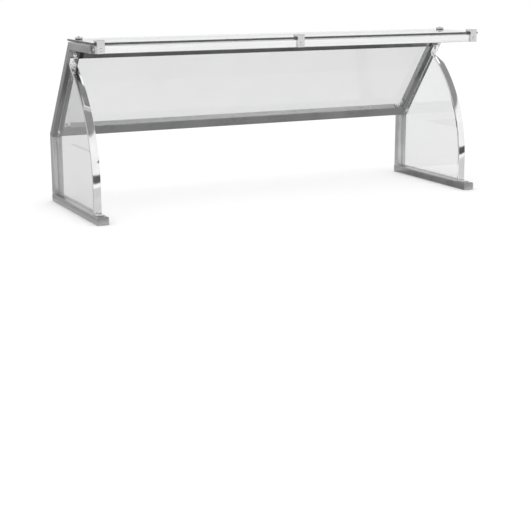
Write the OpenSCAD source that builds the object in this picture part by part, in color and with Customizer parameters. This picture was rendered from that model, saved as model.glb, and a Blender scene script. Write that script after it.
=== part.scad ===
// Counter-top sneeze guard: two tube side frames joined by three cross tubes,
// with a glass shelf, a sloping customer-side pane and two glass ends.
// X runs along the counter, +Y points to the customer, +Z is up. The origin is
// the centre of the four counter bolts, on the underside of the base rails.

/* [Overall] */
// Length over the two side frames
guard_l = 1400; // [900:10:2000]
// Depth of a side frame, the length of a base rail
rail_l = 460; // [400:5:560]
// Height of the knee, measured on the customer side
knee_h = 228; // [180:1:280]
// Height of the top frame's upper face
frame_h = 544; // [450:1:660]
// Distance of the sloping arm's top behind the base rails' front ends
arm_top_y = 225; // [180:1:275]

/* [Tubes] */
// Width of a tube's wide face
tube_w = 38; // [28:0.5:45]
// Thickness of a tube
tube_t = 25; // [20:0.5:32]
// Wall of a tube
tube_wall = 1.5; // [1:0.1:2.5]
// Outer corner radius of a tube
tube_r = 2.5; // [1:0.1:4]
// How far the front rail's ends stay inside the side frames
front_inset = 10; // [0:1:15]
// Thickness of the end plates that close the base rails and the front rail
cap_t = 2; // [1:0.5:4]
// Width of the black connector at each end of the upper cross rail
connector_w = 12; // [4:1:30]

/* [Arc bar] */
// Width of the polished bar
arc_w = 25; // [15:1:28]
// Thickness of the polished bar
arc_t = 8; // [5:0.5:12]
// Distance of the bar's foot behind the base rail's front end
arc_foot_y = 46; // [35:1:70]
// Straight length of the bar above the base rail
arc_straight = 75; // [20:1:110]
// Distance of the bar's top bend below the arm's inner top corner
arc_top_down = 56; // [50:1:90]
// Length of the tab at the bar's top end
arc_tab = 26; // [22:1:34]
// Length of the tab at the bar's foot
foot_tab = 26; // [22:1:32]

/* [Glass] */
// Thickness of the glass shelf and the sloping pane
glass_t = 6; // [4:0.5:10]
// Thickness of the end panes
side_glass_t = 5; // [4:0.5:8]
// How far the shelf and the sloping pane stay inside the length
glass_inset = 4; // [2:1:20]
// Depth of the glass shelf
shelf_w = 247; // [200:1:320]
// Thickness of the glazing tape behind the sloping pane
tape_t = 2; // [1:0.5:4]
// Width of the glazing tape
tape_w = 20; // [12:1:26]
// Gap between an end pane's edge and the metal
seal_gap = 2; // [1:0.5:3]
// Thickness of a seal's lip beside the end pane
seal_lip = 1.5; // [1:0.5:3]
// How far a seal's lip covers the end pane
seal_cover = 5; // [3:0.5:8]

/* [Glass clamps] */
// Width of a front clamp
clamp_w = 25; // [20:1:34]
// Distance of the clamps' centres from the shelf's ends
clamp_inset = 23; // [18:1:40]
// How far a front clamp's jaw reaches over the shelf
jaw_reach = 26; // [20:1:40]
// Thickness of a front clamp's jaw
jaw_t = 8; // [6:0.5:12]
// Thickness of a front clamp's leg
leg_t = 7; // [5:0.5:12]
// Width and length of a rear clamp
rear_clamp_w = 20; // [16:1:26]
// Thickness of a rear clamp
rear_clamp_t = 6; // [4:0.5:12]
// Distance of the rear clamps' centres behind the shelf's front edge
rear_clamp_y = 199; // [150:1:206]
// Thickness of the pads under the shelf
lower_pad_t = 2; // [1.5:0.5:4]
// Thickness of the pads above the shelf
upper_pad_t = 1; // [1:0.5:2]

/* [Fasteners] */
// Thread of the bolts through the sloping pane
bolt_d = 8; // [6:1:8]
// Distance of the lower bolts above the knee's inner corner
low_bolt_up = 30; // [20:1:60]
// Distance of the upper bolts below the top's inner corner
top_bolt_down = 17; // [12:1:19]
// Thread of the small screws
screw_d = 5; // [4:0.5:6]
// Clearance round a screw or a bolt
screw_gap = 0.3; // [0.2:0.05:0.5]
// Clearance round a bolt where it passes through glass
glass_hole_gap = 1.5; // [1:0.25:3]
// Distance of the counter bolts from the ends of the base rails
counter_inset = 90; // [60:1:120]
// Bore of the weld nuts that take the counter bolts
nut_bore_d = 6.8; // [5:0.1:8.5]

/* [Hidden] */

$fn = 48;
LEFT = -1;
RIGHT = 1;
// Facets of the large circles
fine = 192;
// A cut runs past a face by over, and the solids of one piece share eps
over = 1;
eps = 0.01;
big = 3 * guard_l;

front_y = -rail_l / 2;
rear_y = rail_l / 2;
tube_inner_r = max(0.4, tube_r - tube_wall);
side_x = (guard_l - tube_w) / 2;
inner_x = guard_l / 2 - tube_w;

// Sloping arm: its outer face runs from the knee to the top corner
top_y = front_y + arm_top_y;
slope = atan2(rear_y - top_y, frame_h - knee_h);
arm_l = norm([rear_y - top_y, frame_h - knee_h]);
knee_corner = tube_t * tan(slope / 2);
low_bolt_z = knee_corner + low_bolt_up;
top_corner = arm_l - tube_t * tan((90 - slope) / 2);
top_arm_l = arm_top_y - tube_t;

// Arc bar: its outer face rises straight from the foot, then bends with radius arc_r
// to the point arc_meet up the sloping arm's inner face
arc_meet = top_corner - arc_top_down;
foot_y = front_y + arc_foot_y;
arc_z = tube_t + arc_straight;
bend_y = rear_y - tube_t * cos(slope) - arc_meet * sin(slope) - foot_y;
bend_z = knee_h - tube_t * sin(slope) + arc_meet * cos(slope) - arc_z;
arc_r = (bend_y * bend_y + bend_z * bend_z) / (2 * bend_y);
arc_y = foot_y + arc_r;
bar_edge_r = 1;
tab_t = arc_t / 2;
foot_screw_y = foot_y - foot_tab / 2;
tab_screw_z = arc_meet + arc_tab / 2;

// Sloping pane: its top edge stops level with the top frame
pane_top = (frame_h - knee_h - (tape_t + glass_t) * sin(slope)) / cos(slope);
pane_l = guard_l - 2 * glass_inset;

shelf_z = frame_h + lower_pad_t;
shelf_top = shelf_z + glass_t;
jaw_z = shelf_top + upper_pad_t;
clamp_x = pane_l / 2 - clamp_inset;
front_clamp_xs = [-clamp_x, 0, clamp_x];
front_rail_l = guard_l - 2 * front_inset - 2 * cap_t;
edge_gap = 1;
pad_inset = 1;
clamp_r = 1.5;
plug_l = 20;
plug_gap = 0.2;
grub_recess = 0.5;

// Heads and nuts keep a fixed proportion to their thread
head_r = bolt_d;
head_h = 0.5 * bolt_d;
nut_r = 0.94 * bolt_d;
nut_h = 0.8 * bolt_d;
nut_dome_r = 0.78 * bolt_d;
nut_dome_h = 0.75 * bolt_d;
bolt_r = bolt_d / 2;
washer_t = 1.6;
screw_r = screw_d / 2;
screw_head_r = screw_d;
screw_head_h = 0.6 * screw_d;
socket_r = 0.25 * screw_d;
// How far a screw goes in past the piece that it holds
screw_bite = 6;

bracket_l = 26;
bracket_w = 18;
bracket_t = 3;
bracket_hole = 16;

counter_y = rail_l / 2 - counter_inset;
weld_nut_w = 14;
weld_nut_h = 6.5;
collar_t = 1.1;
collar_r = nut_bore_d / 2 + collar_t;
nut_notch_gap = 1;

STEEL = "silver";
POLISHED = "gainsboro";
DARK = "dimgray";

// ---- Helpers -------------------------------------------------------------

// Hole of radius r from z = 0 up through a thickness t
module bore(r, t) {
    translate([0, 0, -over]) cylinder(h = t + 2 * over, r = r);
}

// Rectangle with round corners, centred
module rounded(w, h, r) {
    square([w - 2 * r, h], center = true);
    square([w, h - 2 * r], center = true);
    for (x = [-1, 1], y = [-1, 1])
        translate([x * (w / 2 - r), y * (h / 2 - r)]) circle(r);
}

module tube_section(w, h) {
    difference() {
        rounded(w, h, tube_r);
        rounded(w - 2 * tube_wall, h - 2 * tube_wall, tube_inner_r);
    }
}

// Tube along +Z whose outer face lies at y = 0
module tube(l) {
    translate([0, -tube_t / 2, 0]) linear_extrude(l) tube_section(tube_w, tube_t);
}

// Turns a (Y, Z) outline into a plate of thickness t, centred on x = 0
module plate_yz(t) {
    rotate([90, 0, 90]) linear_extrude(t, center = true) children();
}

// Frame of a side member that starts at (y, z) and leans forward by angle a
module member(y, z, a) {
    translate([0, y, z]) rotate([a, 0, 0]) children();
}

// Sloping frame: z runs up the arms, y points out of their outer face
module on_arm() {
    member(rear_y, knee_h, slope) children();
}

// Everything past a mitre plane, on its upper (dir = 1) or lower (dir = -1) side
module past_mitre(y, z, a, dir) {
    member(y, z, a) translate([0, 0, dir * big / 2]) cube(big, center = true);
}

module at_side(side) {
    translate([side * side_x, 0, 0]) children();
}

// Spherical cap on z = 0
module dome(r, h) {
    ball_r = (r * r + h * h) / (2 * h);
    rotate_extrude() intersection() {
        translate([0, h - ball_r]) circle(ball_r, $fn = fine);
        square([r, h]);
    }
}

// Dome-head screw: head on z = 0, shank down to -l
module screw(l) {
    dome(screw_head_r, screw_head_h);
    translate([0, 0, -l]) cylinder(h = l + eps, r = screw_r);
}

// The four glass bolts: z = 0 on the arm's outer face, +z out through the glass
module at_bolts() {
    for (x = [-side_x, side_x], z = [low_bolt_z, top_corner - top_bolt_down])
        on_arm() translate([x, 0, z]) rotate([-90, 0, 0]) children();
}

// Screw in the arc bar's foot tab: z = 0 on the base rail's top
module at_foot_screw() {
    translate([0, foot_screw_y, tube_t]) children();
}

// Screw in the arc bar's top tab: z = 0 on the arm's inner face, +z out of it
module at_tab_screw() {
    on_arm() translate([0, -tube_t, tab_screw_z]) rotate([90, 0, 0]) children();
}

// ---- Side frames ---------------------------------------------------------

module base_rail(side) {
    color(STEEL) at_side(side) difference() {
        translate([0, rear_y - cap_t, tube_t]) rotate([90, 0, 0]) tube(rail_l - 2 * cap_t);
        for (y = [-counter_y, counter_y]) translate([0, y, 0]) bore(collar_r, tube_wall);
        at_foot_screw() translate([0, 0, -tube_wall]) bore(screw_r, tube_wall);
    }
}

module rail_cap(side, y) {
    color(STEEL) translate([side * side_x, y, tube_t / 2]) rotate([90, 0, 0])
        linear_extrude(cap_t) rounded(tube_w, tube_t, tube_r);
}

module post(side) {
    color(STEEL) at_side(side) difference() {
        translate([0, rear_y, tube_t]) tube(knee_h);
        past_mitre(rear_y, knee_h, slope / 2, 1);
    }
}

module sloping_arm(side) {
    color(STEEL) difference() {
        at_side(side) difference() {
            on_arm() translate([0, 0, -tube_t]) tube(arm_l + 2 * tube_t);
            past_mitre(rear_y, knee_h, slope / 2, -1);
            past_mitre(top_y, frame_h, (slope + 90) / 2, 1);
        }
        at_bolts() translate([0, 0, -tube_t]) bore(bolt_r + screw_gap, tube_t);
        at_side(side) at_tab_screw() translate([0, 0, -tube_wall]) bore(screw_r, tube_wall);
        at_bracket_screws(side) translate([0, 0, -tube_wall]) bore(screw_r, tube_wall);
    }
}

// A plate closes the front end, which shows past the front rail
module top_arm(side) {
    color(STEEL) difference() {
        at_side(side) {
            difference() {
                translate([0, front_y + tube_t, frame_h]) rotate([90, 0, 0])
                    translate([0, 0, -top_arm_l - tube_t]) tube(top_arm_l + tube_t);
                past_mitre(top_y, frame_h, (slope + 90) / 2, -1);
            }
            translate([0, front_y + tube_t + tube_wall, frame_h - tube_t / 2])
                rotate([90, 0, 0]) linear_extrude(tube_wall) rounded(tube_w, tube_t, tube_r);
        }
        translate([side * clamp_x, front_y + rear_clamp_y, frame_h - tube_wall])
            bore(screw_r, tube_wall);
    }
}

module bar_section() {
    translate([arc_r - arc_t / 2, 0]) rounded(arc_t, arc_w, bar_edge_r);
}

// Bent flat bar with a tab on the rail and a tab under the sloping arm
module arc_bar(side) {
    tab_w = arc_w - 2 * bar_edge_r;
    color(POLISHED) at_side(side) difference() {
        union() {
            difference() {
                translate([0, arc_y, arc_z]) rotate([90, 0, 90])
                    rotate([0, 0, 90]) rotate_extrude(angle = 90, $fn = fine) bar_section();
                on_arm() translate([0, big / 2 - tube_t, 0]) cube(big, center = true);
            }
            translate([0, foot_y + arc_t / 2, tube_t])
                linear_extrude(arc_straight) rounded(arc_w, arc_t, bar_edge_r);
            translate([-tab_w / 2, foot_y - foot_tab, tube_t])
                cube([tab_w, foot_tab + arc_t / 2, tab_t]);
            on_arm() translate([-tab_w / 2, -tube_t - tab_t, arc_meet - arc_t / 2])
                cube([tab_w, tab_t, arc_tab + arc_t / 2]);
        }
        at_foot_screw() bore(screw_r + screw_gap, tab_t);
        at_tab_screw() bore(screw_r + screw_gap, tab_t);
    }
}

// Notch in (Y, Z), grown by d, that clears the lower dome nut
module nut_notch(d) {
    r = head_r + nut_notch_gap;
    depth = washer_t + nut_h + nut_dome_h + nut_notch_gap;
    translate([rear_y, knee_h]) rotate(slope) translate([r - tube_t - depth, low_bolt_z]) {
        circle(r + d);
        translate([0, -r - d]) square([big, 2 * (r + d)]);
    }
}

// Outline, in (Y, Z), of the opening in a side frame, drawn inwards by d
module end_opening(d) {
    r = arc_r - arc_t - d;
    difference() {
        intersection() {
            union() {
                translate([arc_y, arc_z]) circle(r, $fn = fine);
                translate([arc_y - r, tube_t]) square([r, arc_straight]);
            }
            translate([front_y, tube_t + d]) square([rail_l - tube_t - d, big]);
            translate([rear_y, knee_h]) rotate(slope)
                translate([-big - tube_t - d, -big / 2]) square([big, big]);
        }
        nut_notch(d);
    }
}

module end_glass(side) {
    color("lightcyan", 0.4) at_side(side) plate_yz(side_glass_t) end_opening(seal_gap);
}

// U-section seal round an end pane
module end_seal(side) {
    color("whitesmoke") at_side(side) difference() {
        plate_yz(side_glass_t + 2 * seal_lip) end_opening(0);
        plate_yz(3 * side_glass_t) end_opening(seal_gap + seal_cover);
        plate_yz(side_glass_t) end_opening(seal_gap);
    }
}

// ---- Cross rails ---------------------------------------------------------

// Tube along X in the sloping frame, its lower edge at z
module cross_tube(l, z) {
    on_arm() translate([0, -tube_t / 2, z + tube_w / 2])
        plate_yz(l) tube_section(tube_t, tube_w);
}

module lower_cross_rail() {
    color(STEEL) difference() {
        cross_tube(2 * inner_x, knee_corner);
        for (side = [LEFT, RIGHT])
            at_bracket_screws(side) translate([0, 0, -tube_wall]) bore(screw_r, tube_wall);
    }
}

module upper_cross_rail() {
    color(STEEL) cross_tube(2 * (inner_x - connector_w), top_corner - tube_w);
}

// Black connector: a flange the size of the tube and a plug inside it
module upper_rail_connector(side) {
    plug = [tube_t, tube_w] - 2 * (tube_wall + plug_gap) * [1, 1];
    color(DARK) on_arm() translate([side * inner_x, -tube_t / 2, top_corner - tube_w / 2]) {
        translate([-side * connector_w / 2, 0, 0])
            plate_yz(connector_w) rounded(tube_t, tube_w, tube_r);
        translate([-side * (connector_w + plug_l / 2), 0, 0])
            plate_yz(plug_l + 2 * eps) rounded(plug.x, plug.y, tube_inner_r);
    }
}

module front_rail() {
    color(STEEL) difference() {
        translate([0, front_y + tube_t / 2, frame_h - tube_t / 2])
            plate_yz(front_rail_l) tube_section(tube_t, tube_t);
        for (x = front_clamp_xs) translate([x, front_y, frame_h - tube_t / 2])
            rotate([-90, 0, 0]) bore(screw_r, tube_wall);
    }
}

module front_rail_cap(side) {
    color(STEEL) translate([side * (front_rail_l + cap_t) / 2,
        front_y + tube_t / 2, frame_h - tube_t / 2]) difference() {
        plate_yz(cap_t) rounded(tube_t, tube_t, tube_r);
        rotate([0, 90, 0]) translate([0, 0, -cap_t / 2]) bore(screw_r + screw_gap, cap_t);
    }
}

// Corner between the lower cross rail's upper side and a sloping arm
module at_bracket(side) {
    on_arm() translate([side * inner_x, -tube_t / 2, knee_corner + tube_w])
        scale([-side, 1, 1]) children();
}

// A bracket's two screws: z = 0 on the face that the bracket lies on, +z out of it
module at_bracket_screws(side) {
    at_bracket(side) {
        translate([bracket_hole, 0, 0]) children();
        translate([0, 0, bracket_hole]) rotate([0, 90, 0]) children();
    }
}

module corner_bracket(side) {
    color(STEEL) difference() {
        at_bracket(side) translate([0, -bracket_w / 2, 0]) {
            cube([bracket_l, bracket_w, bracket_t]);
            cube([bracket_t, bracket_w, bracket_l]);
        }
        at_bracket_screws(side) bore(screw_r + screw_gap, bracket_t);
    }
}

// ---- Glass ---------------------------------------------------------------

module sloping_glass() {
    color("lightcyan", 0.4) difference() {
        on_arm() translate([-pane_l / 2, tape_t, glass_inset])
            cube([pane_l, glass_t, pane_top - glass_inset]);
        at_bolts() bore(bolt_r + glass_hole_gap, tape_t + glass_t);
    }
}

module side_tape(side) {
    color(DARK) difference() {
        on_arm() translate([side * side_x - tape_w / 2, 0, glass_inset])
            cube([tape_w, tape_t, pane_top - glass_inset - tube_r]);
        at_bolts() bore(bolt_r + glass_hole_gap, tape_t + glass_t);
    }
}

module cross_tape(z) {
    l = 2 * (side_x - tape_w);
    color(DARK) on_arm() translate([-l / 2, 0, z + (tube_w - tape_w) / 2])
        cube([l, tape_t, tape_w]);
}

module shelf_glass() {
    color("lightcyan", 0.4) difference() {
        translate([-pane_l / 2, front_y, shelf_z]) cube([pane_l, shelf_w, glass_t]);
        for (x = [-clamp_x, clamp_x]) translate([x, front_y + rear_clamp_y, shelf_z])
            bore(screw_r + glass_hole_gap, glass_t);
    }
}

// ---- Glass clamps --------------------------------------------------------

// Jaw over the shelf's front edge and leg down the front rail's face
module front_clamp(x) {
    leg_h = jaw_z + jaw_t - frame_h + tube_t;
    reach = leg_t + jaw_reach;
    color(POLISHED) translate([x, front_y, 0]) difference() {
        union() {
            translate([0, reach / 2 - leg_t, jaw_z])
                linear_extrude(jaw_t) rounded(clamp_w, reach, clamp_r);
            translate([0, -leg_t, frame_h - tube_t]) rotate([-90, 0, 0])
                translate([0, -leg_h / 2, 0])
                    linear_extrude(leg_t) rounded(clamp_w, leg_h, clamp_r);
        }
        translate([0, -leg_t, frame_h - tube_t / 2]) rotate([-90, 0, 0])
            bore(screw_r + screw_gap, leg_t);
        translate([0, jaw_reach / 2, jaw_z]) bore(screw_r, jaw_t);
    }
}

module rear_clamp(x) {
    color(POLISHED) translate([x, front_y + rear_clamp_y, jaw_z]) difference() {
        linear_extrude(rear_clamp_t) rounded(rear_clamp_w, rear_clamp_w, clamp_r);
        bore(screw_r + screw_gap, rear_clamp_t);
    }
}

module clamp_pad(x, y, z, t, w, l) {
    translate([x, y, z]) linear_extrude(t) difference() {
        square([w - 2 * pad_inset, l - 2 * pad_inset], center = true);
        circle(screw_r + screw_gap);
    }
}

module clamp_pads(z, t) {
    color(DARK) {
        for (x = front_clamp_xs)
            clamp_pad(x, front_y + jaw_reach / 2, z, t, clamp_w, jaw_reach - 2 * edge_gap);
        for (x = [-clamp_x, clamp_x])
            clamp_pad(x, front_y + rear_clamp_y, z, t, rear_clamp_w, rear_clamp_w);
    }
}

// ---- Fasteners -----------------------------------------------------------

module front_clamp_screws() {
    color(POLISHED) for (x = front_clamp_xs)
        translate([x, front_y - leg_t, frame_h - tube_t / 2])
            rotate([90, 0, 0]) screw(leg_t + screw_bite);
}

module rear_clamp_screws() {
    color(POLISHED) for (x = [-clamp_x, clamp_x])
        translate([x, front_y + rear_clamp_y, jaw_z + rear_clamp_t])
            screw(jaw_z + rear_clamp_t - frame_h + screw_bite);
}

// Socket set screws that press the front jaws' pads on the shelf
module clamp_grub_screws() {
    color(POLISHED) for (x = front_clamp_xs)
        translate([x, front_y + jaw_reach / 2, jaw_z]) difference() {
            cylinder(h = jaw_t - grub_recess, r = screw_r);
            translate([0, 0, jaw_t / 2]) cylinder(h = jaw_t, r = socket_r, $fn = 6);
        }
}

module glass_bolts() {
    head_z = tape_t + glass_t + washer_t;
    color(POLISHED) at_bolts() {
        translate([0, 0, head_z]) dome(head_r, head_h);
        translate([0, 0, -tube_t - washer_t - nut_h])
            cylinder(h = tube_t + washer_t + nut_h + head_z + eps, r = bolt_r);
    }
}

module dome_nuts() {
    color(POLISHED) at_bolts() translate([0, 0, -tube_t - washer_t])
        rotate([180, 0, 0]) difference() {
            union() {
                cylinder(h = nut_h, r = nut_r, $fn = 6);
                translate([0, 0, nut_h - eps]) dome(nut_dome_r, nut_dome_h);
            }
            translate([0, 0, -eps]) cylinder(h = nut_h + 2 * eps, r = bolt_r);
        }
}

module bolt_washers() {
    color(DARK) at_bolts() for (z = [-tube_t - washer_t, tape_t + glass_t])
        translate([0, 0, z]) linear_extrude(washer_t) difference() {
            circle(head_r);
            circle(bolt_r);
        }
}

module arc_screws() {
    color(POLISHED) for (side = [LEFT, RIGHT]) at_side(side) {
        at_foot_screw() translate([0, 0, tab_t]) screw(tab_t + screw_bite);
        at_tab_screw() translate([0, 0, tab_t]) screw(tab_t + screw_bite);
    }
}

module bracket_screws() {
    color(POLISHED) for (side = [LEFT, RIGHT])
        at_bracket_screws(side) translate([0, 0, bracket_t]) screw(bracket_t + screw_bite);
}

module end_cap_screws() {
    color(POLISHED) for (side = [LEFT, RIGHT])
        translate([side * (front_rail_l / 2 + cap_t), front_y + tube_t / 2, frame_h - tube_t / 2])
            rotate([0, side * 90, 0]) screw(cap_t + screw_bite);
}

// Weld nuts whose collars fill the holes in the rails' undersides
module counter_weld_nuts() {
    color(STEEL) for (x = [-side_x, side_x], y = [-counter_y, counter_y])
        translate([x, y, 0]) difference() {
            union() {
                cylinder(h = tube_wall + eps, r = collar_r);
                translate([-weld_nut_w / 2, -weld_nut_w / 2, tube_wall])
                    cube([weld_nut_w, weld_nut_w, weld_nut_h]);
            }
            bore(nut_bore_d / 2, tube_wall + weld_nut_h);
        }
}

base_rail(LEFT);  // left_base_rail
base_rail(RIGHT);  // right_base_rail
rail_cap(LEFT, front_y + cap_t);  // left_rail_front_cap
rail_cap(RIGHT, front_y + cap_t);  // right_rail_front_cap
rail_cap(LEFT, rear_y);  // left_rail_rear_cap
rail_cap(RIGHT, rear_y);  // right_rail_rear_cap
post(LEFT);  // left_post
post(RIGHT);  // right_post
sloping_arm(LEFT);  // left_sloping_arm
sloping_arm(RIGHT);  // right_sloping_arm
top_arm(LEFT);  // left_top_arm
top_arm(RIGHT);  // right_top_arm
arc_bar(LEFT);  // left_arc_bar
arc_bar(RIGHT);  // right_arc_bar
end_glass(LEFT);  // left_end_glass
end_glass(RIGHT);  // right_end_glass
end_seal(LEFT);  // left_end_seal
end_seal(RIGHT);  // right_end_seal
corner_bracket(LEFT);  // left_corner_bracket
corner_bracket(RIGHT);  // right_corner_bracket
lower_cross_rail();
upper_cross_rail();
front_rail();
upper_rail_connector(LEFT);  // upper_rail_left_connector
upper_rail_connector(RIGHT);  // upper_rail_right_connector
front_rail_cap(LEFT);  // front_rail_left_cap
front_rail_cap(RIGHT);  // front_rail_right_cap
sloping_glass();
shelf_glass();
side_tape(LEFT);  // left_glass_tape
side_tape(RIGHT);  // right_glass_tape
cross_tape(knee_corner);  // lower_glass_tape
cross_tape(top_corner - tube_w);  // upper_glass_tape
front_clamp(-clamp_x);  // front_left_clamp
front_clamp(0);  // front_middle_clamp
front_clamp(clamp_x);  // front_right_clamp
rear_clamp(-clamp_x);  // rear_left_clamp
rear_clamp(clamp_x);  // rear_right_clamp
clamp_pads(shelf_top, upper_pad_t);  // upper_clamp_pads
clamp_pads(frame_h, lower_pad_t);  // lower_clamp_pads
front_clamp_screws();
rear_clamp_screws();
clamp_grub_screws();
glass_bolts();
dome_nuts();
bolt_washers();
arc_screws();
bracket_screws();
end_cap_screws();
counter_weld_nuts();
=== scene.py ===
# %% [markdown]
# # A counter-top sneeze guard in steel and glass
# The guard stands on a serving counter: two side frames of steel tube, three
# tubes across, a sloping pane towards the customer, a glass shelf on top and a
# pane at each end behind a polished arc bar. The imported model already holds
# every part at its true size. This lesson gives the tubes their brushed finish
# and models again the pieces whose edges catch the light: glass, bars, clamps,
# screws, nuts and seals.

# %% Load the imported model
import math

import bmesh
import bpy
from mathutils import Euler, Matrix, Vector


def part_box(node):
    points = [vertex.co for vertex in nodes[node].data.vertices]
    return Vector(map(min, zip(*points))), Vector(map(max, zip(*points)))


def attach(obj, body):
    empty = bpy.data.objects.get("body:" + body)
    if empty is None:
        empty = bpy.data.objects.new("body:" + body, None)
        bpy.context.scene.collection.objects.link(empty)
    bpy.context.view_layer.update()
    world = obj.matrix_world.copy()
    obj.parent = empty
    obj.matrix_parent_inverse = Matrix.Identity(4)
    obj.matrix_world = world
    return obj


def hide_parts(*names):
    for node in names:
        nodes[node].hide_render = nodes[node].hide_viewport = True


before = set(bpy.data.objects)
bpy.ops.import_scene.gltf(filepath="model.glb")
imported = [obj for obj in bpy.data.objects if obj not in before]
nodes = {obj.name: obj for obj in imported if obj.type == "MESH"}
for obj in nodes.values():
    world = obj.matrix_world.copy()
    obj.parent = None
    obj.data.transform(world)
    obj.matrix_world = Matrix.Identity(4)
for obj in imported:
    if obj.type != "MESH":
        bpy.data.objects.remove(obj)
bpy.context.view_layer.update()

scene = bpy.context.scene
MM = 0.001
SIDES = {"left": -1, "right": 1}

# %% [markdown]
# ## The camera
# The guard is seen from the operator's side, from beyond its left end and a
# little above the shelf, with a long lens. A long lens keeps the tubes nearly
# parallel, which suits a thing made of straight lines. An aimed empty could
# turn the camera, but two plain angles say the same and leave nothing behind.

# %% Place the camera
camera_place = (-1.883, -3.727, 0.778)
heading = 26.665
look_down = 13.41
bpy.ops.object.camera_add(
    location=camera_place,
    rotation=Euler((math.radians(90 - look_down), 0, math.radians(-heading))))
camera = bpy.context.object
camera.data.lens = 83.08
camera.data.sensor_width = 36
camera.data.clip_end = 200
scene.camera = camera
scene.view_settings.view_transform = "Standard"
print("camera", camera_place, "lens", round(camera.data.lens, 2))

# %% [markdown]
# ## Floor and studio light
# Polished steel has almost no colour of its own, so the room makes its looks.
# What the camera and the floor see is plain white. What steel and glass reflect
# is white near the horizon and greyer overhead, as in a studio with white walls
# and a dim ceiling. The Light Path node tells the two apart in the world, and
# a ramp on the ray's height makes the step between wall and ceiling.

# %% Make the floor
floor_size = 120
bpy.ops.object.select_all(action="DESELECT")
bpy.ops.mesh.primitive_plane_add(size=floor_size)
floor = bpy.context.object
floor.name = "studio_floor"
floor_paint = bpy.data.materials.new("floor_paint")
floor_paint.use_nodes = True
floor_shader = floor_paint.node_tree.nodes["Principled BSDF"]
floor_shader.inputs["Base Color"].default_value = (0.96, 0.96, 0.96, 1)
floor_shader.inputs["Roughness"].default_value = 0.9
floor_shader.inputs["Specular IOR Level"].default_value = 0.0
floor.data.materials.append(floor_paint)
print("floor", floor_size, "metres square")

# %% [markdown]
# A sky of one colour would light everything evenly but leave the steel flat, and a
# picture of a real room would bring its own things into every reflection. A ramp
# between two tones is enough for walls and a ceiling.

# %% Make the world
wall_light = 1.0
ceiling_light = 0.31
wall_top = 0.53
cornice = 0.05
world = bpy.data.worlds.new("studio")
world.use_nodes = True
scene.world = world
sky = world.node_tree
sky.nodes.clear()
ray = sky.nodes.new("ShaderNodeLightPath")
compass = sky.nodes.new("ShaderNodeTexCoord")
height = sky.nodes.new("ShaderNodeSeparateXYZ")
ramp = sky.nodes.new("ShaderNodeValToRGB")
ramp.color_ramp.elements[0].position = wall_top
ramp.color_ramp.elements[0].color = (wall_light, wall_light, wall_light, 1)
ramp.color_ramp.elements[1].position = wall_top + cornice
ramp.color_ramp.elements[1].color = (ceiling_light, ceiling_light, ceiling_light, 1)
plain = sky.nodes.new("ShaderNodeBackground")
plain.inputs["Strength"].default_value = 1.06
mirrored = sky.nodes.new("ShaderNodeBackground")
seen_plain = sky.nodes.new("ShaderNodeMath")
seen_plain.operation = "MAXIMUM"
choose_sky = sky.nodes.new("ShaderNodeMixShader")
sky_out = sky.nodes.new("ShaderNodeOutputWorld")
plain.inputs["Color"].default_value = (1, 1, 1, 1)
for start, end in (
        (compass.outputs["Generated"], height.inputs[0]),
        (height.outputs["Z"], ramp.inputs["Fac"]),
        (ramp.outputs["Color"], mirrored.inputs["Color"]),
        (ray.outputs["Is Camera Ray"], seen_plain.inputs[0]),
        (ray.outputs["Is Diffuse Ray"], seen_plain.inputs[1]),
        (seen_plain.outputs[0], choose_sky.inputs[0]),
        (mirrored.outputs[0], choose_sky.inputs[1]),
        (plain.outputs[0], choose_sky.inputs[2]),
        (choose_sky.outputs[0], sky_out.inputs[0])):
    sky.links.new(start, end)
print("wall", wall_light, "up to", wall_top, "then ceiling", ceiling_light)

# %% [markdown]
# A large soft lamp overhead leaves a faint shadow under the rails. Cards that
# only reflections see shape the steel, as black flags and soft boxes do in a
# real studio. Grey cards under the top darken the undersides of the tubes, a low
# dark strip in front draws the dark patch on each arc bar, cards beyond the left
# end and behind tone the faces that look that way, and bright ones overhead light
# the ledge of the lower cross rail. A black one between them is for the dark top of
# the left bar. Those overhead are also seen through glass, which stands in between.

# %% Hang the lamp and lay the cards
def lamp(name, place, size, watts):
    bpy.ops.object.light_add(type="AREA", location=place)
    light = bpy.context.object
    light.name = name
    light.data.shape = "DISK"
    light.data.size = size
    light.data.energy = watts
    light.rotation_euler = Vector(place).to_track_quat("Z", "Y").to_euler()
    light.visible_glossy = False
    return light


def card(name, low, high, tone):
    """A card seen only in reflections, whether it lies, stands or hangs."""
    low, high = Vector(low), Vector(high)
    size = high - low
    bpy.ops.mesh.primitive_cube_add(size=1, location=(low + high) / 2)
    piece = bpy.context.object
    piece.name = name
    piece.scale = size
    paint = bpy.data.materials.new(name + "_paint")
    paint.use_nodes = True
    tree = paint.node_tree
    tree.nodes.clear()
    glow = tree.nodes.new("ShaderNodeEmission")
    glow.inputs["Color"].default_value = (tone, tone, tone, 1)
    out = tree.nodes.new("ShaderNodeOutputMaterial")
    tree.links.new(glow.outputs[0], out.inputs[0])
    piece.data.materials.append(paint)
    for sight in ("camera", "diffuse", "transmission", "shadow", "volume_scatter"):
        setattr(piece, "visible_" + sight, False)
    return piece


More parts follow.
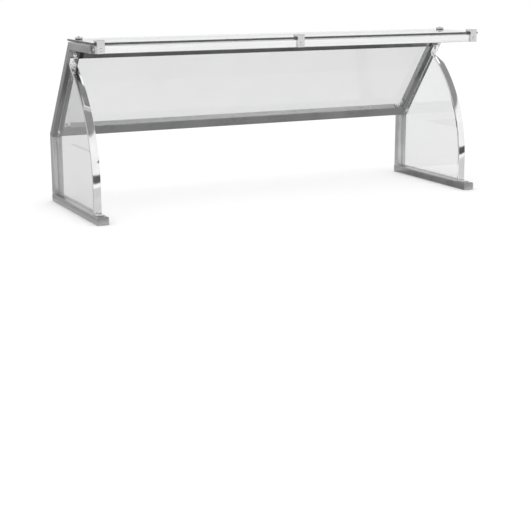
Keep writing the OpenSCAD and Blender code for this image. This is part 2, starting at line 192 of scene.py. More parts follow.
bpy.ops.object.select_all(action="DESELECT")
lamp("overhead", (-1.5, -2.0, 3.5), 4.0, 20)
low_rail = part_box("lower_cross_rail")
rail_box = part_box("left_base_rail")
end_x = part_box("right_base_rail")[1].x
beyond = end_x + 0.02
flag_z = low_rail[0].z - 8 * MM
under_mid = rail_box[0].y + 0.29
card("flag_top", (-end_x, -0.14, flag_z), (end_x + 0.2, under_mid, flag_z + MM), 0.17)
card("flag_front", (-0.62, -0.30, flag_z), (0.64, -0.14, flag_z + MM), 0.17)
card("flag_low", (-end_x, under_mid, flag_z), (end_x + 0.2, 0.24, flag_z + MM), 0.46)
apron_y = -0.93
card("apron", (-1.2, apron_y, MM), (2.4, rail_box[0].y - 0.03, 2 * MM), 0.70)
card("strip", (-1.2, apron_y - MM, 0.06), (2.4, apron_y, 0.178), 0.10)
far_y = 12.0
card("left_floor", (-6.0, -0.5, MM), (-beyond, far_y, 2 * MM), 0.50)
card("far_left_floor", (-7.0, 6.0, 2 * MM), (-2.5, 10.0, 3 * MM), 0.20)
card("behind", (-beyond, 0.26, MM), (0.62, far_y, 2 * MM), 0.50)
card("beside_right_rail", (0.55, rail_box[0].y, MM), (end_x - 0.04, 0.22, 2 * MM), 0.30)
low_z, high_z = 3.0, 3.01
overhead = (
    card("ceiling_flag", (-0.1, -0.24, low_z), (0.45, 0.40, high_z), 0.01),
    card("ceiling_box", (-0.3, 0.42, low_z), (3.4, 2.2, high_z), 1.6),
    card("ceiling_box_low", (0.5, -0.25, low_z), (2.1, 0.42, high_z), 1.6))
for piece in overhead:
    piece.visible_transmission = True
print("cards under", round(flag_z, 3), "and round the guard,", len(overhead), "above")

# %% [markdown]
# ## Measuring the frame
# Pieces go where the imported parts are. A box is enough for a straight piece. The
# arms and the pane lean, so they are measured and modelled upright in the arm's
# own frame and leaned at the end: in it, y points out of the pane and z runs up
# the arm. The lean is read from the pane's largest face.

# %% Measure the lean
def points(node):
    return [v.co.copy() for v in nodes[node].data.vertices]


def box_of(some_points):
    low = Vector([min(p[i] for p in some_points) for i in range(3)])
    high = Vector([max(p[i] for p in some_points) for i in range(3)])
    return low, high


def solids(node, frame_matrix=Matrix.Identity(4), gather=0.1):
    """Boxes of a node's separate solids, measured in a leaning frame."""
    groups = []
    back = frame_matrix.inverted()
    for point in points(node):
        point = back @ point
        for group in groups:
            if (point - group[0]).length < gather:
                group.append(point)
                break
        else:
            groups.append([point])
    return sorted((box_of(group) for group in groups), key=lambda b: tuple(b[0]))


pane_face = max(nodes["sloping_glass"].data.polygons, key=lambda face: face.area)
lean = math.atan2(abs(pane_face.normal.z), abs(pane_face.normal.y))
ARM = Matrix.Rotation(lean, 4, "X")
UPRIGHT = Matrix.Identity(4)
print("the arms lean", round(math.degrees(lean), 2), "degrees")

# %% [markdown]
# ## Modelling helpers
# Each piece starts as a primitive at its size and place. A choice in edit mode is
# made by testing where a corner, edge or face lies, as a hand would point at it.
# Cutting with a second solid is a Boolean modifier that is applied at once. What
# repeats is modelled once for each size and copied, so that equal parts stay equal.

# %% Define the modelling steps
def block(name, low, high):
    """A box from low to high, ready to be shaped."""
    low, high = Vector(low), Vector(high)
    bpy.ops.object.select_all(action="DESELECT")
    bpy.ops.mesh.primitive_cube_add(size=1, location=(low + high) / 2)
    piece = bpy.context.object
    piece.name = name
    piece.scale = high - low
    bpy.ops.object.transform_apply(location=True, rotation=True, scale=True)
    return piece


def rod(name, foot, direction, radius, length, sides=40):
    """A cylinder that starts at foot and runs along direction."""
    direction = Vector(direction).normalized()
    bpy.ops.object.select_all(action="DESELECT")
    bpy.ops.mesh.primitive_cylinder_add(
        vertices=sides, radius=radius, depth=length,
        location=Vector(foot) + direction * length / 2,
        rotation=direction.to_track_quat("Z", "Y").to_euler())
    piece = bpy.context.object
    piece.name = name
    bpy.ops.object.transform_apply(location=True, rotation=True, scale=True)
    return piece


def work_on(piece):
    bpy.ops.object.select_all(action="DESELECT")
    piece.select_set(True)
    bpy.context.view_layer.objects.active = piece


def choose(kind, test):
    """Selects the corners, edges or faces of the edited piece that pass a test."""
    mesh = bpy.context.object.data
    shape = bmesh.from_edit_mesh(mesh)
    shape.select_mode = {kind}
    for group in (shape.verts, shape.edges, shape.faces):
        for item in group:
            item.select_set(False)
    chosen = {"VERT": shape.verts, "EDGE": shape.edges, "FACE": shape.faces}[kind]
    picked = [item for item in chosen if test(item)]
    for item in picked:
        item.select_set(True)
    shape.select_flush_mode()
    bmesh.update_edit_mesh(mesh)
    return len(picked)


def middle(item):
    corners = [v.co for v in item.verts]
    return sum(corners, Vector()) / len(corners)


def sharp(edge, least=40):
    """True for an edge whose two faces meet at more than so many degrees."""
    return len(edge.link_faces) == 2 and edge.calc_face_angle() > math.radians(least)


def steep(edge):
    """True for an edge at nearly a right angle, which small curves leave out."""
    return sharp(edge, 60)


def runs_along(axis):
    """A test for edges that run along one axis."""
    return lambda edge: abs(
        (edge.verts[0].co - edge.verts[1].co).normalized()[axis]) > 0.9


def round_edges(piece, width, steps=3, test=sharp):
    work_on(piece)
    bpy.ops.object.mode_set(mode="EDIT")
    count = choose("EDGE", test)
    if count:
        bpy.ops.mesh.bevel(offset=width, segments=steps, profile=0.5, affect="EDGES")
    bpy.ops.object.mode_set(mode="OBJECT")
    return count


def cut_plane(place, normal, clear=True):
    """Cuts the edited piece with a plane and clears what lies beyond it."""
    bpy.ops.mesh.select_all(action="SELECT")
    bpy.ops.mesh.bisect(plane_co=place, plane_no=normal, use_fill=clear,
                        clear_outer=clear, threshold=1e-6)


def combine(piece, tool, operation="DIFFERENCE"):
    """Cuts, joins or trims a piece with another solid, which is used up."""
    work_on(piece)
    change = piece.modifiers.new("combine", "BOOLEAN")
    change.object = tool
    change.operation = operation
    change.solver = "EXACT"
    bpy.ops.object.modifier_apply(modifier=change.name)
    bpy.data.objects.remove(tool)
    return piece


def drill(piece, foot, direction, radius, length):
    return combine(piece, rod("drill", foot, direction, radius, length))


def copy_of(piece, name, place):
    """A copy with its own mesh, moved to its place."""
    twin = piece.copy()
    twin.data = piece.data.copy()
    twin.name = name
    scene.collection.objects.link(twin)
    twin.matrix_world = place
    return twin


def to_seat(toward, seat):
    """Turns a piece modelled along +z towards a direction and puts it on a seat."""
    turn = Vector(toward).to_track_quat("Z", "Y").to_matrix().to_4x4()
    return Matrix.Translation(seat) @ turn


def hand_over(piece, finish, replaced, lean_by=UPRIGHT):
    """Leans a piece into place, gives it its finish and ties it to the frame."""
    piece.matrix_world = lean_by @ piece.matrix_world
    work_on(piece)
    bpy.ops.object.transform_apply(location=True, rotation=True, scale=True)
    bpy.ops.object.shade_smooth_by_angle(angle=math.radians(32))
    if not piece.data.materials:
        piece.data.materials.append(finish)
    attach(piece, "root")
    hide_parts(*replaced)
    return piece


def repeat(make, places, finish, lean_by=UPRIGHT):
    """Models a piece once for each size and hands over a copy at every place."""
    patterns = {}
    for name, (low, high), node in places:
        size = tuple(round(v / MM, 2) for v in high - low)
        if size not in patterns:
            patterns[size] = (make(low, high), low)
        pattern, start = patterns[size]
        place = Matrix.Translation(low - start) @ pattern.matrix_world
        hand_over(copy_of(pattern, name, place), finish, [node], lean_by)
    for pattern, start in patterns.values():
        bpy.data.objects.remove(pattern)
    return len(places)


def numbered(prefix, node, boxes):
    """Places for repeat, one for each solid of a node."""
    return [(f"{prefix}{number + 1}", box, node) for number, box in enumerate(boxes)]


def whole(ending, names):
    """Places for repeat, one for each node of that name."""
    return [(name + ending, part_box(name), name) for name in names]


print("modelling steps ready")

# %% [markdown]
# ## Brushed stainless tube
# Catering tube is ground with a belt that runs along it, so fine scratches run
# lengthways, with cloudy patches where hands and cloths have been. Each finish
# is a metal whose colour, roughness and bump follow one noise stretched along
# the grain and a second, broad one. The grain could come from a UV map, but
# Object coordinates need none: a Mapping node turns them and stretches them.

# %% Define the node helpers
def new_finish(name):
    """A material, its Principled shader and a function that adds nodes."""
    finish = bpy.data.materials.new(name)
    finish.use_nodes = True
    tree = finish.node_tree
    shader = tree.nodes["Principled BSDF"]

    def add(kind, **settings):
        node = tree.nodes.new("ShaderNode" + kind)
        for key, value in settings.items():
            if hasattr(node, key):
                setattr(node, key, value)
            else:
                node.inputs[key.replace("_", " ").title()].default_value = value
        return node

    def link(start, end):
        tree.links.new(start, end)

    return finish, shader, add, link


def spread(add, link, source, low, high, start=0.3, end=0.7):
    """Maps a noise value from start..end to low..high."""
    node = add("MapRange")
    for socket, value in zip(("From Min", "From Max", "To Min", "To Max"),
                             (start, end, low, high)):
        node.inputs[socket].default_value = value
    link(source, node.inputs["Value"])
    return node.outputs["Result"]


def noise(add, link, vector, scale, detail=3, roughness=0.55):
    node = add("TexNoise", scale=scale, detail=detail, roughness=roughness)
    link(vector, node.inputs["Vector"])
    return node.outputs["Fac"]


def grey(add, link, value, tint=(1, 1, 1)):
    """A colour from a value and a tint."""
    scaled = add("VectorMath", operation="SCALE")
    scaled.inputs[0].default_value = tint
    link(value, scaled.inputs["Scale"])
    return scaled.outputs[0]


print("node helpers ready")

# %% [markdown]
# The tubes differ in which way the belt ran and in tone, so one function makes all their
# finishes.
# Their tones are painted light and shade: on the same steel, the posts are painted lighter,
# the arms a little darker and the front rail much lighter, for how each catches the light.
# The front rail is also buffed smoother than the rest, because hands and plates touch it.

# %% Make the steel finishes
GRAINS = {"x": (60, 0.6, 0.6), "y": (0.6, 60, 0.6), "z": (0.6, 0.6, 60)}


def grained_steel(name, tone, grain, turn=0.0, rough=0.30, clouds=0.10, bite=0.12):
    """Steel ground along one direction; the tone is how much light it returns."""
    finish, shader, add, link = new_finish(name)
    place = add("TexCoord").outputs["Object"]
    along = add("Mapping", vector_type="TEXTURE")
    along.inputs["Rotation"].default_value = (turn, 0, 0)
    along.inputs["Scale"].default_value = [MM * v for v in GRAINS[grain]]
    link(place, along.inputs["Vector"])
    lines = noise(add, link, along.outputs[0], 1.0, detail=2, roughness=0.6)
    patches = noise(add, link, place, 9.0, detail=4)
    bands = noise(add, link, along.outputs[0], 0.16, detail=1)
    shade = add("Math", operation="MULTIPLY")
    link(spread(add, link, lines, 1 - clouds, 1 + clouds), shade.inputs[0])
    link(spread(add, link, patches, tone * (1 - clouds), tone * (1 + clouds)),
         shade.inputs[1])
    banded = add("Math", operation="MULTIPLY")
    link(shade.outputs[0], banded.inputs[0])
    link(spread(add, link, bands, 0.95, 1.05), banded.inputs[1])
    link(grey(add, link, banded.outputs[0], (1.0, 1.0, 1.01)), shader.inputs["Base Color"])
    dull = add("Math", operation="ADD")
    link(spread(add, link, lines, -0.05, 0.07), dull.inputs[0])
    link(spread(add, link, patches, rough - 0.05, rough + 0.08), dull.inputs[1])
    link(dull.outputs[0], shader.inputs["Roughness"])
    bump = add("Bump", strength=bite, distance=0.0002)
    link(lines, bump.inputs["Height"])
    link(bump.outputs[0], shader.inputs["Normal"])
    shader.inputs["Metallic"].default_value = 1.0
    return finish


tube_tone = 0.40
steel_x = grained_steel("tube_steel_across", tube_tone, "x")
steel_y = grained_steel("tube_steel_rail", tube_tone, "y")
# Painted light and shade: the posts get a lighter tone, the arms a darker one and the front
# rail a much lighter one, though all are the same steel.
steel_z_painted_lighter = grained_steel("tube_steel_post", tube_tone * 1.5, "z")
steel_arm_painted_darker = grained_steel("tube_steel_arm", tube_tone * 0.94, "z", turn=lean)
steel_front_painted_lighter = grained_steel("front_rail_steel", 0.86, "x", rough=0.22, clouds=0.03)
print("five tube finishes, tone", tube_tone)

# %% [markdown]
# The tubes themselves are plain mitred lengths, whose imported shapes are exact
# already. Modelling them again would add nothing, so they only get their finish.

# %% Finish the tubes
TUBES = {
    "lower_cross_rail": steel_x, "upper_cross_rail": steel_x, "front_rail": steel_front_painted_lighter}
for side in SIDES:
    TUBES[side + "_base_rail"] = steel_y
    TUBES[side + "_top_arm"] = steel_y
    TUBES[side + "_post"] = steel_z_painted_lighter
    TUBES[side + "_sloping_arm"] = steel_arm_painted_darker
for name, finish in TUBES.items():
    nodes[name].material_slots[0].material = finish
print(len(TUBES), "tubes finished")

# %% [markdown]
# ## Polished bar
# The arc bar is flat bar, bent cold and buffed to a mirror. Buffing leaves it
# slightly wavy, so straight lines wobble in it. Its tabs are thinner, pressed
# where the bar is screwed to the rail and to the arm. It is made as a smith
# would: pull the section up, bend it round, saw it off at the arm, then draw
# out the tabs and ease every edge. First comes the polish, a metal with low
# roughness whose haze and waves are two noises.

# %% Make the polished finish
def polished_steel(name, tone, rough=0.07, wave=0.12, swirl=34.0):
    finish, shader, add, link = new_finish(name)
    place = add("TexCoord").outputs["Object"]
    haze = noise(add, link, place, swirl, detail=5)
    fine = noise(add, link, place, 900.0, detail=2)
    waves = noise(add, link, place, 22.0, detail=1)
    link(grey(add, link, spread(add, link, haze, tone * 0.94, tone * 1.04)),
         shader.inputs["Base Color"])
    dull = add("Math", operation="ADD")
    link(spread(add, link, haze, rough * 0.6, rough * 1.5), dull.inputs[0])
    link(spread(add, link, fine, -0.01, 0.02), dull.inputs[1])
    link(dull.outputs[0], shader.inputs["Roughness"])
    bump = add("Bump", strength=wave, distance=0.0008)
    link(waves, bump.inputs["Height"])
    link(bump.outputs[0], shader.inputs["Normal"])
    shader.inputs["Metallic"].default_value = 1.0
    return finish


bar_steel = polished_steel("bar_polish", 0.88)
print("bar polish ready")

# %% [markdown]
# The bar's radius isn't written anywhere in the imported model, but three things on
# its outer face give it: where the face is upright, where the curve starts, and
# how far back it has come at any height above that.

# %% Measure the arc
rail_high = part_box("left_base_rail")[1]
bar_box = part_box("left_arc_bar")
bar_w = bar_box[1].x - bar_box[0].x
seal_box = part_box("left_end_seal")
arm_face = min((ARM.inverted() @ p).y for p in points("lower_cross_rail"))
bar_points = [p for p in points("left_arc_bar") if p.z > rail_high.z + 0.02]
bar_front = min(p.y for p in bar_points)
bar_t = seal_box[0].y - bar_front
arc_z = min(p.z for p in bar_points if p.y < bar_front + 0.1 * MM)
on_arc = [p for p in bar_points if arc_z + 0.05 < p.z < arc_z + 0.25]
arc_r = max(((p.y - bar_front) ** 2 + (p.z - arc_z) ** 2) / (2 * (p.y - bar_front))
            for p in on_arc)
arc_y = bar_front + arc_r
tab_t = bar_t / 2
tab_reach = bar_front - bar_box[0].y
print("arc radius", round(arc_r, 4), "bar", round(bar_w, 4), "by", round(bar_t, 4))

# %% [markdown]
# A curve object could carry the section round too. A spin in edit mode is nearer
# to what the bending rolls do, and keeps the section square to the bend.

# %% Bend the arc bars
arm_out = ARM.to_3x3() @ Vector((0, 1, 0))
arm_up = ARM.to_3x3() @ Vector((0, 0, 1))
arm_point = arm_out * arm_face
bar_top = max((ARM.inverted() @ p).z for p in bar_points)
bend_steps, bend_turn = 56, math.radians(62)
inner_bend_r = 3.2 * MM
eased = 0.9 * MM
hair = 0.01 * MM


def arc_bar(low, high):
    x = (low.x + high.x) / 2
    bpy.ops.object.select_all(action="DESELECT")
    bpy.ops.mesh.primitive_plane_add(
        size=1, location=(x, bar_front + bar_t / 2, rail_high.z))
    piece = bpy.context.object
    piece.name = "bar"
    piece.scale = (bar_w, bar_t, 1)
    bpy.ops.object.transform_apply(location=True, rotation=True, scale=True)
    bpy.ops.object.mode_set(mode="EDIT")
    bpy.ops.mesh.select_all(action="SELECT")
    bpy.ops.mesh.extrude_region_move(
        TRANSFORM_OT_translate={"value": (0, 0, arc_z - rail_high.z)})
    bpy.ops.mesh.spin(steps=bend_steps, angle=bend_turn,
                      center=(x, arc_y, arc_z), axis=(1, 0, 0))
    cut_plane(arm_point, arm_out)
    cut_plane(arm_point - arm_out * tab_t, arm_out, clear=False)
    cut_plane((x, 0, rail_high.z + tab_t), (0, 0, 1), clear=False)
    bpy.ops.mesh.select_all(action="SELECT")
    bpy.ops.mesh.normals_make_consistent(inside=False)
    choose("FACE", lambda f: f.normal.dot(arm_up) > 0.6
           and -tab_t < (middle(f) - arm_point).dot(arm_out) < 0)
    top_end = max((middle(f)).dot(arm_up) for f in
                  bmesh.from_edit_mesh(piece.data).faces if f.select)
    bpy.ops.mesh.extrude_region_move(
        TRANSFORM_OT_translate={"value": arm_up * (bar_top - top_end)})
    choose("FACE", lambda f: f.normal.y < -0.9 and middle(f).z < rail_high.z + tab_t)
    bpy.ops.mesh.extrude_region_move(
        TRANSFORM_OT_translate={"value": (0, -tab_reach, 0)})
    bpy.ops.mesh.select_all(action="SELECT")
    bpy.ops.mesh.remove_doubles(threshold=hair)
    bpy.ops.mesh.normals_make_consistent(inside=False)
    bpy.ops.object.mode_set(mode="OBJECT")

    def inner_bend(edge):
        place = middle(edge)
        at_foot = abs(place.z - rail_high.z - tab_t) + abs(place.y - bar_front) < 0.2 * MM
        at_top = abs((place - arm_point).dot(arm_out) + tab_t) < 0.2 * MM
        crosswise = abs(edge.verts[0].co.x - edge.verts[1].co.x) > bar_w / 2
        return crosswise and sharp(edge) and (at_foot or at_top) and place.y > bar_front - MM

    bends = round_edges(piece, inner_bend_r, steps=6, test=inner_bend)
    rounded = round_edges(piece, eased, steps=3)
    print("bar: bends", bends, "edges eased", rounded)
    return piece


bars = repeat(arc_bar, whole("_polished", [side + "_arc_bar" for side in SIDES]),
              bar_steel)
print(bars, "arc bars")

# %% [markdown]
# ## Glass
# Toughened float glass is clear on its faces and nearly black-green on its
# ground edges, where light is caught inside. So a pane has two finishes: a clear
# one for the faces and a dim, slightly rough one for the edge strip. The panes
# cast no shadow, as a clear pane hardly does. The arris, the small ground slope
# on each edge, is what gives a pane its thin bright outline. The end panes' edges
# are polished and sit in clear seals, so theirs is a lighter, frosted glass.

# %% Make the glass finishes
def clear_glass(name, tint, rough=0.0):
    finish, shader, add, link = new_finish(name)
    place = add("TexCoord").outputs["Object"]
    smears = noise(add, link, place, 7.0, detail=5)
    shader.inputs["Transmission Weight"].default_value = 1.0
    shader.inputs["IOR"].default_value = 1.5
    stain = spread(add, link, smears, 0.985, 1.01)
    link(grey(add, link, stain, tint), shader.inputs["Base Color"])
    link(spread(add, link, smears, rough, rough + 0.015, start=0.5, end=0.8),
         shader.inputs["Roughness"])
    return finish


pane_glass = clear_glass("pane_clear", (0.77, 0.775, 0.772))
end_glass = clear_glass("end_pane_clear", (0.83, 0.835, 0.833))


def ground_edge(name):
    finish, shader, add, link = new_finish(name)
    place = add("TexCoord").outputs["Object"]
    grind = noise(add, link, place, 260.0, detail=3)
    link(grey(add, link, spread(add, link, grind, 0.7, 1.2), (0.070, 0.078, 0.075)),
         shader.inputs["Base Color"])
    link(spread(add, link, grind, 0.18, 0.36), shader.inputs["Roughness"])
    shader.inputs["Specular IOR Level"].default_value = 0.6
    shader.inputs["Transmission Weight"].default_value = 0.25
    return finish


glass_edge = ground_edge("pane_edge")
flat_edge = clear_glass("end_pane_edge", (0.80, 0.81, 0.805), rough=0.12)
print("glass finishes ready")

# %% [markdown]
# A flat pane is cut, drilled, and then ground along every edge, in that order,
# since a hole can't be drilled after toughening. The block is made the same way:
# its corners are rounded first, then the holes, then the arris.

# %% Cut the shelf and the sloping pane
arris = 0.7 * MM
pane_corner_r = 4 * MM
bolt_hole_r, clamp_hole_r = 5.5 * MM, 4 * MM


def glaze(piece, finish, edge, across):
    """Gives faces across one axis the clear finish and the rest the edge's."""
    piece.data.materials.append(finish)
    piece.data.materials.append(edge)
    for face in piece.data.polygons:
        face.material_index = 0 if abs(face.normal[across]) > 0.97 else 1
    piece.visible_shadow = False
    piece.visible_diffuse = False
    return piece


def straight_pane(name, node, frame_matrix, across, holes, hole_r):
    low, high = box_of([frame_matrix.inverted() @ p for p in points(node)])
    piece = block(name, low, high)
    round_edges(piece, pane_corner_r, steps=4, test=runs_along(across))
    direction = Vector([1 if i == across else 0 for i in range(3)])
    for place in holes:
        foot = place.copy()
        foot[across] = low[across] - MM
        drill(piece, foot, direction, hole_r, high[across] - low[across] + 2 * MM)
    round_edges(piece, arris, steps=1, test=steep)
    return piece


bolt_places = [(low + high) / 2 for low, high in solids("glass_bolts", ARM)]
pane = straight_pane("sloping_pane", "sloping_glass", ARM, 1, bolt_places, bolt_hole_r)
glaze(pane, pane_glass, glass_edge, 1)
hand_over(pane, pane_glass, ["sloping_glass"], ARM)
screw_places = [(low + high) / 2 for low, high in solids("rear_clamp_screws")]
shelf = straight_pane("shelf_pane", "shelf_glass", UPRIGHT, 2, screw_places, clamp_hole_r)
glaze(shelf, pane_glass, glass_edge, 2)
hand_over(shelf, pane_glass, ["shelf_glass"])
print("panes", [len(p.data.polygons) for p in (pane, shelf)], "faces")

# %% [markdown]
# ## End panes and their seals
# Each end pane follows the arc bar on one edge and the rail, post and arm on the
# others. A disc gives the curve; it is cut in half, its lower edge is pulled
# down to the rail, and two planes trim it along the post and the arm. The same
# outline, drawn larger and thicker and with the pane cut out of it, is the
# U-shaped silicone seal. Both have a notch that clears the lower dome nut.

# %% Shape the end panes
nut_boxes = solids("dome_nuts", ARM)
washer_r = max((b[1].x - b[0].x) / 2 for b in solids("bolt_washers", ARM))
nut_gap = 1.0 * MM
disc_corners = 160
post_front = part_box("left_post")[0].y
inner_r = arc_r - bar_t


def end_shape(name, x, inset, thickness):
    """The opening of a side frame as a solid, drawn inwards by inset."""
    r = inner_r - inset
    bpy.ops.object.select_all(action="DESELECT")
    bpy.ops.mesh.primitive_circle_add(
        vertices=disc_corners, radius=r, fill_type="NGON",
        location=(x - thickness / 2, arc_y, arc_z), rotation=(0, math.pi / 2, 0))
    piece = bpy.context.object
    piece.name = name
    bpy.ops.object.transform_apply(location=True, rotation=True, scale=True)
    bpy.ops.object.mode_set(mode="EDIT")
    cut_plane((x, arc_y, arc_z), (0, 0, -1))
    choose("EDGE", lambda e: all(abs(v.co.z - arc_z) < hair for v in e.verts))
    drop = rail_high.z + inset - arc_z
    bpy.ops.mesh.extrude_region_move(TRANSFORM_OT_translate={"value": (0, 0, drop)})
    cut_plane((x, post_front - inset, 0), (0, 1, 0))
    cut_plane(arm_point - arm_out * inset, arm_out)
    bpy.ops.mesh.select_all(action="SELECT")
    bpy.ops.mesh.remove_doubles(threshold=hair)
    bpy.ops.mesh.dissolve_limited(angle_limit=math.radians(0.5))
    bpy.ops.mesh.extrude_region_move(
        TRANSFORM_OT_translate={"value": (thickness, 0, 0)})
    bpy.ops.mesh.select_all(action="SELECT")
    bpy.ops.mesh.normals_make_consistent(inside=False)
    bpy.ops.object.mode_set(mode="OBJECT")
    return notched(piece, x, inset, thickness)


def notched(piece, x, inset, thickness):
    """Cuts the notch round the lower dome nut, grown by inset."""
    low, high = min((b for b in nut_boxes if b[0].x * x > 0), key=lambda b: b[0].z)
    r = washer_r + nut_gap
    deep = arm_face - low.y + nut_gap
    half = thickness
    centre = Vector((x, arm_face - deep + r, (low.z + high.z) / 2))
    grown = r + inset
    end = rod("notch_end", centre - Vector((half, 0, 0)), (1, 0, 0), grown, 2 * half)
    throat = block("notch", centre - Vector((half, 0, grown)),
                   (x + half, arm_face + 0.02, centre.z + grown))
    for tool in (end, throat):
        tool.matrix_world = ARM
        combine(piece, tool)
    return piece


glass_low, glass_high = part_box("left_end_glass")
seal_low, seal_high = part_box("left_end_seal")
end_t = glass_high.x - glass_low.x
seal_t = seal_high.x - seal_low.x
seal_web = glass_low.z - seal_low.z
seal_cover = 5 * MM


def end_pane(low, high):
    pane = end_shape("outline", (low.x + high.x) / 2, seal_web, end_t)
    round_edges(pane, arris, steps=1, test=steep)
    pane.visible_glossy = False
    return glaze(pane, end_glass, flat_edge, 0)


repeat(end_pane, [(side + "_end_pane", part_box(side + "_end_glass"), side + "_end_glass")
                  for side in SIDES], end_glass)
print("end panes", round(end_t, 4), "thick, seal web", round(seal_web, 4))

# %% [markdown]
# The seal is an extruded U of clear silicone pushed over the pane's edge. Real
# see-through rubber needs scattering inside. Most of its look is only a thin grey
# veil over what lies behind, and a low alpha gives that at once.

# %% Make the silicone and shape the seals
def silicone(name, tone, veil):
    """Clear rubber: mostly see-through, with a grey veil over what it covers."""
    finish, shader, add, link = new_finish(name)
    place = add("TexCoord").outputs["Object"]
    bloom = noise(add, link, place, 60.0, detail=4)
    link(grey(add, link, spread(add, link, bloom, 0.85, 1.12), tone),
         shader.inputs["Base Color"])
    link(spread(add, link, bloom, 0.35, 0.5), shader.inputs["Roughness"])
    shader.inputs["Alpha"].default_value = veil
    shader.inputs["Specular IOR Level"].default_value = 0.2
    bump = add("Bump", strength=0.2, distance=0.0003)
    link(bloom, bump.inputs["Height"])
    link(bump.outputs[0], shader.inputs["Normal"])
    return finish


def end_seal(low, high):
    x = (low.x + high.x) / 2
    seal = end_shape("outline", x, 0, seal_t)
    combine(seal, end_shape("opening", x, seal_web + seal_cover, 2 * seal_t))
    combine(seal, end_shape("groove", x, seal_web, end_t))
    for sight in ("shadow", "diffuse", "glossy"):
        setattr(seal, "visible_" + sight, False)
    return seal


clear_silicone = silicone("seal_silicone", (0.42, 0.43, 0.425), 0.16)
repeat(end_seal, [(side + "_seal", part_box(side + "_end_seal"), side + "_end_seal")
                  for side in SIDES], clear_silicone)
print("seals", round(seal_t, 4), "wide")

# %% [markdown]
# ## Glass clamps and pads
# A front clamp is one block: a leg screwed to the front rail and a jaw over the
# shelf's edge, with a set screw that presses a rubber pad on the glass. The leg
# is a box; its upper back face is pulled out to make the jaw, so the corner is
# solid. Then every edge is rounded, as on a cast and tumbled fitting.

# %% Make the clamps
clamp_steel = polished_steel("clamp_polish", 0.62, rough=0.16, wave=0.12, swirl=120)
jaw_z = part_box("upper_clamp_pads")[1].z
front_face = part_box("front_rail")[0].y
screw_r = 2.5 * MM
clamp_round = 1.4 * MM


def front_clamp(low, high):
    leg = block("leg", low, (high.x, front_face, high.z))
    bpy.ops.object.mode_set(mode="EDIT")
    cut_plane((0, 0, jaw_z), (0, 0, 1), clear=False)
    choose("FACE", lambda f: f.normal.y > 0.9 and middle(f).z > jaw_z)
    bpy.ops.mesh.extrude_region_move(
        TRANSFORM_OT_translate={"value": (0, high.y - front_face, 0)})
    bpy.ops.object.mode_set(mode="OBJECT")
    round_edges(leg, clamp_round, steps=4)
    return leg


def rear_clamp(low, high):
    cap = block("cap", low, high)
    round_edges(cap, clamp_round, steps=4)
    return cap


front_nodes = [f"front_{place}_clamp" for place in ("left", "middle", "right")]
rear_nodes = [f"rear_{side}_clamp" for side in SIDES]
clamps = repeat(front_clamp, whole("_block", front_nodes), clamp_steel)
clamps += repeat(rear_clamp, whole("_block", rear_nodes), clamp_steel)
print(clamps, "clamps, jaws at", round(jaw_z, 4))

# %% [markdown]
# The pads keep steel off glass. They are punched from black rubber sheet, so they
# have sharp faces and round corners, and a dull skin with fine grit.

# %% Make the pads
def rubber(name, tone, rough=0.75):
    finish, shader, add, link = new_finish(name)
    place = add("TexCoord").outputs["Object"]
    grit = noise(add, link, place, 700.0, detail=4)
    dust = noise(add, link, place, 40.0, detail=3)
    mixed = add("Math", operation="MULTIPLY")
    link(spread(add, link, grit, 0.8, 1.2), mixed.inputs[0])
    link(spread(add, link, dust, 0.9, 1.15), mixed.inputs[1])
    link(grey(add, link, mixed.outputs[0], tone), shader.inputs["Base Color"])
    link(spread(add, link, dust, rough - 0.08, rough + 0.1), shader.inputs["Roughness"])
    bump = add("Bump", strength=0.35, distance=0.0002)
    link(grit, bump.inputs["Height"])
    link(bump.outputs[0], shader.inputs["Normal"])
    return finish


def pad(low, high):
    piece = block("pad", low, high)
    round_edges(piece, 2 * MM, steps=4, test=lambda e: abs(
        e.verts[0].co.z - e.verts[1].co.z) > 0.5 * MM)
    round_edges(piece, 0.2 * MM, steps=2, test=steep)
    return piece


pad_rubber = rubber("pad_rubber", (0.16, 0.16, 0.16))
pads = sum(repeat(pad, numbered(node + "_", node, solids(node)), pad_rubber)
           for node in ("upper_clamp_pads", "lower_clamp_pads"))
print(pads, "pads above and below")

# %% [markdown]
# ## Screws, bolts and dome nuts
# All are bought parts of polished stainless. A button-head screw is a short
# cylinder whose rim is bevelled into a dome, with a six-sided socket sunk in its
# crown and a shank pulled out of its underside. One is made for each size and
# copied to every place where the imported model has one.

# %% Make one button-head screw for each size
screw_steel = polished_steel("screw_polish", 0.75, rough=0.12, wave=0.1, swirl=200)
head_r, head_h, key_r = 5 * MM, 3 * MM, 1.6 * MM
bolt_r = 4 * MM
SMALL = (head_r, head_h, screw_r, key_r)
LARGE = (8 * MM, 4 * MM, bolt_r, 2.6 * MM)


def button_screw(cap_r, cap_h, shank_r, length, socket_r):
    """A screw along +z whose head's underside is at z = 0."""
    piece = rod("button_screw", (0, 0, 0), (0, 0, 1), cap_r, cap_h, sides=48)
    round_edges(piece, 0.8 * cap_h, steps=7, test=lambda e: all(
        v.co.z > 0.9 * cap_h for v in e.verts) and steep(e))
    bpy.ops.object.mode_set(mode="EDIT")
    choose("FACE", lambda f: f.normal.z < -0.9 and middle(f).z < 0.1 * cap_h)
    bpy.ops.mesh.inset(thickness=cap_r - shank_r)
    bpy.ops.mesh.extrude_region_move(TRANSFORM_OT_translate={"value": (0, 0, -length)})
    bpy.ops.object.mode_set(mode="OBJECT")
    socket = rod("socket", (0, 0, 0.45 * cap_h), (0, 0, 1), socket_r, cap_h, sides=6)
    return combine(piece, socket)


